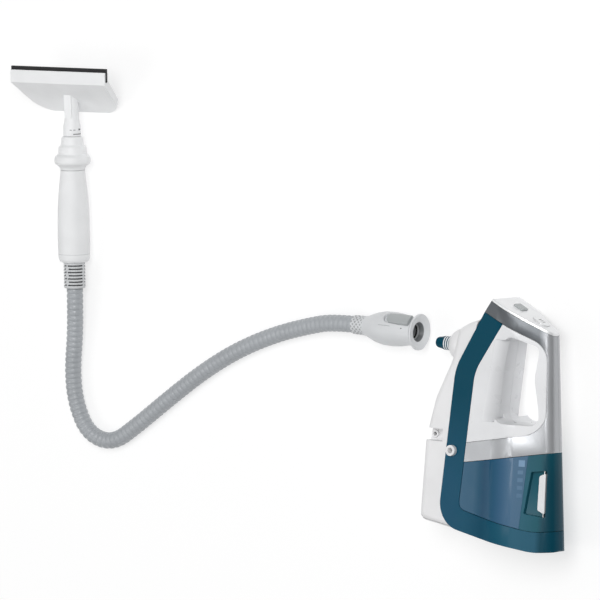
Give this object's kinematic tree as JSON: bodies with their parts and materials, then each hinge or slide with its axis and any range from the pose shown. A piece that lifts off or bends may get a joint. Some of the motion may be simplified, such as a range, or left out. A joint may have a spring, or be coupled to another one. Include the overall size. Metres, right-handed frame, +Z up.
{
  "type": "handheld steamer",
  "caption": "Handheld steamer lying on its side, with a rear water tank, a front nozzle, and a steam hose with a push-on connector, a round grip and a window squeegee head.",
  "frame": {"origin": "on the floor, under the centre of the box round the unit and the hand piece; the hose and its connector do not count", "axes": "+Z up from the floor; +Y from the base of the unit towards its top panel and along the hand piece to the squeegee; -X from the unit towards the hand piece"},
  "size_m": [0.7539, 0.5307, 0.0816],
  "materials": {
    "white": "smooth satin white moulding",
    "off_white": "fine textured light grey-white moulding",
    "silver": "silver paint over moulded plastic",
    "teal": "dark blue-green moulding",
    "tank_clear": "tinted clear moulding",
    "dark_plastic": "dark moulding",
    "hose_grey": "light grey corrugated sleeve",
    "soft_grey": "soft light grey moulding",
    "seal_rubber": "black seal",
    "white_seal": "white seal",
    "blade_rubber": "black rubber blade",
    "brass": "turned",
    "steel": "plated",
    "boiler_metal": "cast",
    "board": "printed board",
    "tube_clear": "silicone tube"
  },
  "bodies": {
    "body": {"base_plate": "dark_plastic", "boiler": "boiler_metal", "button_springs": "steel", "control_board": "board", "cord_clamp": "dark_plastic", "cord_gland": "off_white", "feed_tube": "tube_clear", "frame_left": "silver", "frame_right": "silver", "front_cover": "white", "grip_shell_left": "white", "grip_shell_right": "white", "heating_element": "steel", "housing_screws": "steel", "inner_deck": "dark_plastic", "nose_shroud": "off_white", "nozzle_rings": "white_seal", "nozzle_seal": "seal_rubber", "port_bushing": "off_white", "power_switch": "dark_plastic", "pump": "dark_plastic", "pump_bracket": "steel", "side_band_left": "teal", "side_band_right": "teal", "socket_seal": "seal_rubber", "steam_nozzle": "teal", "steam_pipe": "tube_clear", "steam_switch": "dark_plastic", "suction_tube": "tube_clear", "tank_socket": "dark_plastic", "tank_tray": "dark_plastic", "thermal_fuse": "brass", "thermostat": "steel", "top_panel": "silver"},
    "tank": {"tank_shell": "tank_clear", "tank_housing": "teal", "fill_bung": "dark_plastic", "tank_valve": "dark_plastic", "latch_pins": "steel", "latch_springs": "steel"},
    "left_latch": {"latch_lever_left": "white"},
    "right_latch": {"latch_lever_right": "white"},
    "power_key": {"power_button": "silver"},
    "steam_key": {"steam_button": "silver"},
    "hose_set": {"connector_shell": "off_white", "connector_flange": "off_white", "connector_socket": "dark_plastic", "connector_seal": "seal_rubber", "hose_collar": "off_white", "steam_hose": "hose_grey", "strain_relief": "soft_grey", "grip_upper": "off_white", "grip_lower": "off_white", "inner_tube": "brass"},
    "connector_lock": {"lock_slider": "off_white"},
    "ring": {"locking_ring": "off_white"},
    "squeegee": {"squeegee_head": "off_white", "steam_plate": "dark_plastic", "squeegee_blade": "blade_rubber", "head_seal": "seal_rubber"}
  },
  "joints": [
    {"name": "tank_slide", "type": "slide", "parent": "body", "child": "tank", "axis": [0.9917, 0.119, 0.0491], "range_m": [0, 0.1]},
    {"name": "left_latch_hinge", "type": "hinge", "parent": "tank", "child": "left_latch", "pos_m": [0.36094, -0.19667, 0.05695], "axis": [-0.0058, 0.9962, -0.0865], "range_deg": [0, 12], "stiffness_Nm_per_rad": 0.02},
    {"name": "right_latch_hinge", "type": "hinge", "parent": "tank", "child": "right_latch", "pos_m": [0.36265, -0.19807, 0.02579], "axis": [0.0103, -0.9999, 0.0043], "range_deg": [0, 12], "stiffness_Nm_per_rad": 0.02},
    {"name": "power_button_press", "type": "slide", "parent": "body", "child": "power_key", "axis": [-0.4594, -0.8881, 0.0148], "range_m": [0, 0.0025], "stiffness_N_per_m": 400},
    {"name": "steam_button_press", "type": "slide", "parent": "body", "child": "steam_key", "axis": [-0.4594, -0.8881, 0.0148], "range_m": [0, 0.0025], "stiffness_N_per_m": 400},
    {"name": "hose_plug", "type": "slide", "parent": "body", "child": "hose_set", "axis": [0.9729, -0.2221, 0.0635], "range_m": [0, 0.04623]},
    {"name": "connector_lock_slide", "type": "slide", "parent": "hose_set", "child": "connector_lock", "axis": [-0.9978, 0.0349, -0.0564], "range_m": [0, 0.004]},
    {"name": "ring_twist", "type": "hinge", "parent": "hose_set", "child": "ring", "pos_m": [-0.3085, 0.15846, 0.02193], "axis": [0, 0.9997, 0.0227], "range_deg": [0, 45]},
    {"name": "squeegee_pull", "type": "slide", "parent": "hose_set", "child": "squeegee", "axis": [0, 0.9997, 0.0227], "range_m": [0, 0.06]}
  ]
}
